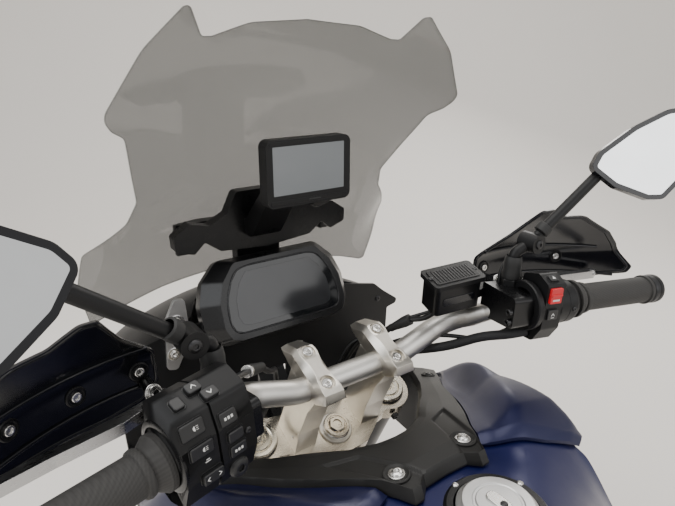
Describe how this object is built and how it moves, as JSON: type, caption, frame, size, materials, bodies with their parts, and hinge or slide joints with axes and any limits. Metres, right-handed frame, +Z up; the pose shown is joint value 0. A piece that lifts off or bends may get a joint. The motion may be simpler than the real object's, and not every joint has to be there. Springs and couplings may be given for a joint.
{
  "type": "motorcycle cockpit assembly",
  "caption": "Cockpit section of an adventure motorcycle: handlebar, controls, mirrors, handguards, yokes, dash, windscreen, tank and front frame.",
  "frame": {"origin": "on the axis of the engine bolt, midway between the frame's two lugs", "axes": "+X to the rider's right, +Y forward, +Z up"},
  "size_m": [0.9054, 0.852, 0.9017],
  "materials": {
    "black_plastic": "fine grain",
    "blue_paint": "gloss",
    "blue_plastic": "gloss",
    "dark_clear": "smoked",
    "silver_alloy": "satin",
    "grey_alloy": "satin",
    "black_steel": "satin",
    "bright_steel": "brushed",
    "rubber": "ribbed",
    "screen_clear": "clear",
    "display_face": "gloss",
    "mirror_face": "silvered"
  },
  "bodies": {
    "frame": {"dash_panel": "black_plastic", "dash_stay": "black_steel", "display_glass": "display_face", "display_housing": "black_plastic", "filler_cap": "bright_steel", "filler_ring": "grey_alloy", "front_frame": "black_steel", "headlamp_left": "dark_clear", "headlamp_right": "dark_clear", "nav_arm": "black_plastic", "nav_case": "black_plastic", "nav_screen": "display_face", "nose_cowl": "black_plastic", "screen_bracket": "black_steel", "screen_plate_left": "bright_steel", "side_shell_left": "blue_plastic", "side_shell_right": "blue_plastic", "tank": "blue_paint", "tank_cover": "black_plastic", "windscreen": "screen_clear"},
    "steering": {"bar_clamp_left": "silver_alloy", "bar_clamp_right": "silver_alloy", "bar_end_left": "bright_steel", "bar_end_right": "bright_steel", "brake_hose": "rubber", "brake_lever_right": "silver_alloy", "brake_reservoir": "dark_clear", "clutch_hose": "rubber", "clutch_lever_left": "silver_alloy", "fork_cap_left": "grey_alloy", "fork_cap_right": "grey_alloy", "fork_tube_left": "grey_alloy", "fork_tube_right": "grey_alloy", "grip_left": "rubber", "grip_right": "rubber", "guard_arm_left": "black_steel", "guard_arm_right": "black_steel", "handguard_left": "black_plastic", "handguard_right": "black_plastic", "handlebar": "silver_alloy", "lever_perch_left": "black_steel", "lever_perch_right": "black_steel", "loom_left": "rubber", "loom_right": "rubber", "lower_yoke": "grey_alloy", "mirror_glass_left": "mirror_face", "mirror_glass_right": "mirror_face", "mirror_shell_left": "black_plastic", "mirror_shell_right": "black_plastic", "mirror_stem_left": "black_steel", "mirror_stem_right": "black_steel", "reservoir_lid": "dark_clear", "riser_left": "silver_alloy", "riser_right": "silver_alloy", "steering_stem": "black_steel", "switch_pod_left": "black_plastic", "switch_pod_right": "black_plastic", "throttle_housing": "black_plastic", "top_yoke": "grey_alloy"}
  },
  "joints": [
    {"name": "steering_turn", "type": "hinge", "parent": "frame", "child": "steering", "pos_m": [0, 0.1682, 0.3245], "axis": [0, -0.4226, 0.9063], "range_deg": [-35, 35]}
  ]
}
